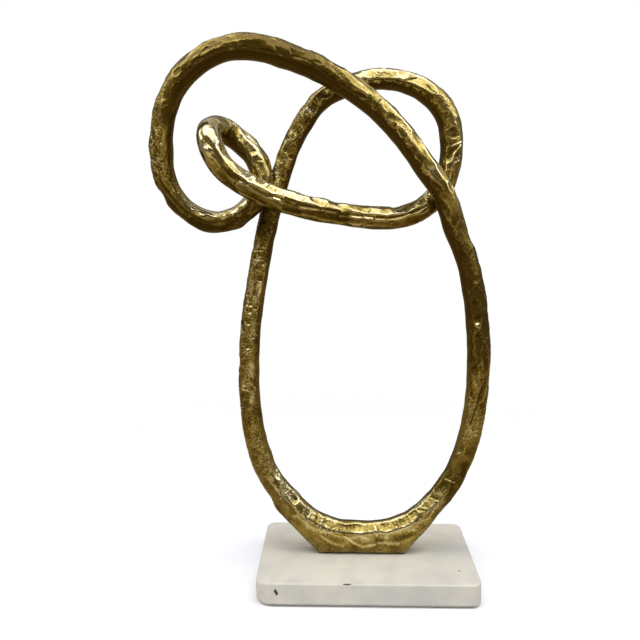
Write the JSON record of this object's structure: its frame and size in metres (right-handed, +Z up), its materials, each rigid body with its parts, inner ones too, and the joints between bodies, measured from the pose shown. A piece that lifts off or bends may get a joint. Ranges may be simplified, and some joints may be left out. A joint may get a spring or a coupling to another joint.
{
  "type": "knot sculpture",
  "caption": "Open knot of one hammered brass strand, standing on a flat cast foot on a rectangular white marble slab.",
  "frame": {"origin": "middle of the slab on the felt's underside, the face that the sculpture rests on", "axes": "+Z up the knot; +X to the viewer's right along the slab's long side; the viewer looks along +Y"},
  "size_m": [0.2324, 0.102, 0.376],
  "materials": {
    "cast_brass": "hammered, antiqued, satin",
    "weld_brass": "antiqued, satin",
    "white_marble": "honed, soft grey veins",
    "felt": "matte",
    "screw_steel": "zinc plated"
  },
  "bodies": {
    "root": {"foot_casting": "cast_brass", "left_limb": "cast_brass", "front_sweep": "cast_brass", "crown_loop": "cast_brass", "weld_left_leg": "weld_brass", "weld_right_lobe": "weld_brass", "weld_behind_sweep": "weld_brass", "weld_right_leg": "weld_brass", "tack_top_crossing": "weld_brass", "tack_right_crossing": "weld_brass", "tack_behind_sweep": "weld_brass", "tack_left_leg": "weld_brass", "marble_base": "white_marble", "felt_sheet": "felt", "base_screw_left": "screw_steel", "base_screw_right": "screw_steel", "washer_left": "screw_steel", "washer_right": "screw_steel"}
  },
  "joints": []
}
